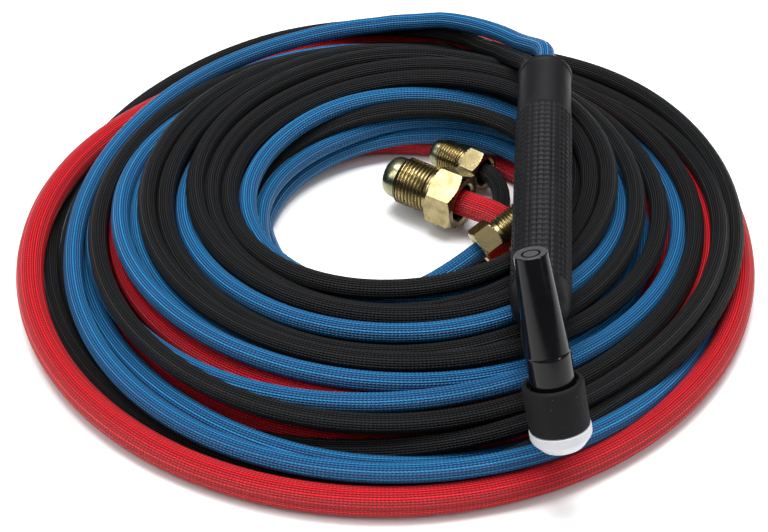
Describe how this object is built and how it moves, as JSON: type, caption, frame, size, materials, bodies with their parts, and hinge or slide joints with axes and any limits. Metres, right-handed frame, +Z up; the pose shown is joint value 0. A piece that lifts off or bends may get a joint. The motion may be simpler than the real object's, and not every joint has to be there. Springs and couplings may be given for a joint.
{
  "type": "tig torch",
  "caption": "Water-cooled TIG welding torch with angled head, long screwed back cap and straight handle, lying on the round coil of its three braided hoses with brass fittings.",
  "frame": {"origin": "on the flat underside of the hose coil, straight below the front end of the torch's handle", "axes": "+Z up from the surface the coil lies on, +Y along the handle from the head towards the hoses, +X to the right of the torch seen from its head"},
  "size_m": [0.332, 0.332, 0.1051],
  "materials": {
    "brass": "bright machined brass with a faint olive tint",
    "copper": "drawn copper tube",
    "steel": "crimped",
    "silicone": "matte moulded rubber",
    "handle": "satin with a moulded grip",
    "cap": "polished black phenolic",
    "ptfe": "smooth white",
    "seal": "smooth",
    "red_braid": "glossy textile braid",
    "black_braid": "textile braid",
    "blue_braid": "glossy textile braid"
  },
  "bodies": {
    "torch": {"head_body": "brass", "head_insulation": "silicone", "cup_gasket": "ptfe", "power_tube": "copper", "gas_tube": "copper", "water_tube": "copper", "power_tube_ferrule": "steel", "gas_tube_ferrule": "brass", "water_tube_ferrule": "brass", "handle": "handle", "hose_coil": "black_braid", "power_hose_lead": "red_braid", "power_hose_tail": "red_braid", "power_nipple": "brass", "power_hose_ferrule": "brass", "gas_hose_lead": "black_braid", "gas_hose_tail": "black_braid", "gas_nipple": "brass", "gas_hose_ferrule": "brass", "water_hose_lead": "blue_braid", "water_hose_tail": "blue_braid", "water_nipple": "brass", "water_hose_ferrule": "brass"},
    "cap_seal": {"back_cap_o_ring": "seal"},
    "back_cap": {"back_cap": "cap"},
    "power_nut": {"power_nut": "brass"},
    "gas_nut": {"gas_nut": "brass"},
    "water_nut": {"water_nut": "brass"}
  },
  "joints": [
    {"name": "back_cap_travel", "type": "slide", "parent": "torch", "child": "cap_seal", "axis": [-0.186, 0.2995, 0.9358], "range_m": [0, 0.006]},
    {"name": "back_cap_turn", "type": "hinge", "parent": "cap_seal", "child": "back_cap", "pos_m": [-0.00109, -0.04485, 0.05268], "axis": [-0.186, 0.2995, 0.9358], "range_deg": [0, 2160]},
    {"name": "power_nut_swivel", "type": "hinge", "parent": "torch", "child": "power_nut", "pos_m": [-0.0276, 0.1162, 0.0154], "axis": [-0.848, 0.5292, 0.0301], "continuous": true},
    {"name": "gas_nut_swivel", "type": "hinge", "parent": "torch", "child": "gas_nut", "pos_m": [-0.016, 0.145, 0.0118], "axis": [-0.78, 0.625, -0.03], "continuous": true},
    {"name": "water_nut_swivel", "type": "hinge", "parent": "torch", "child": "water_nut", "pos_m": [-0.0217, 0.0763, 0.0196], "axis": [0.7995, 0.4197, 0.4297], "continuous": true}
  ],
  "couplings": [
    {"joint": "back_cap_travel", "follows": "back_cap_turn", "m_per_rad": 0.00015915}
  ]
}
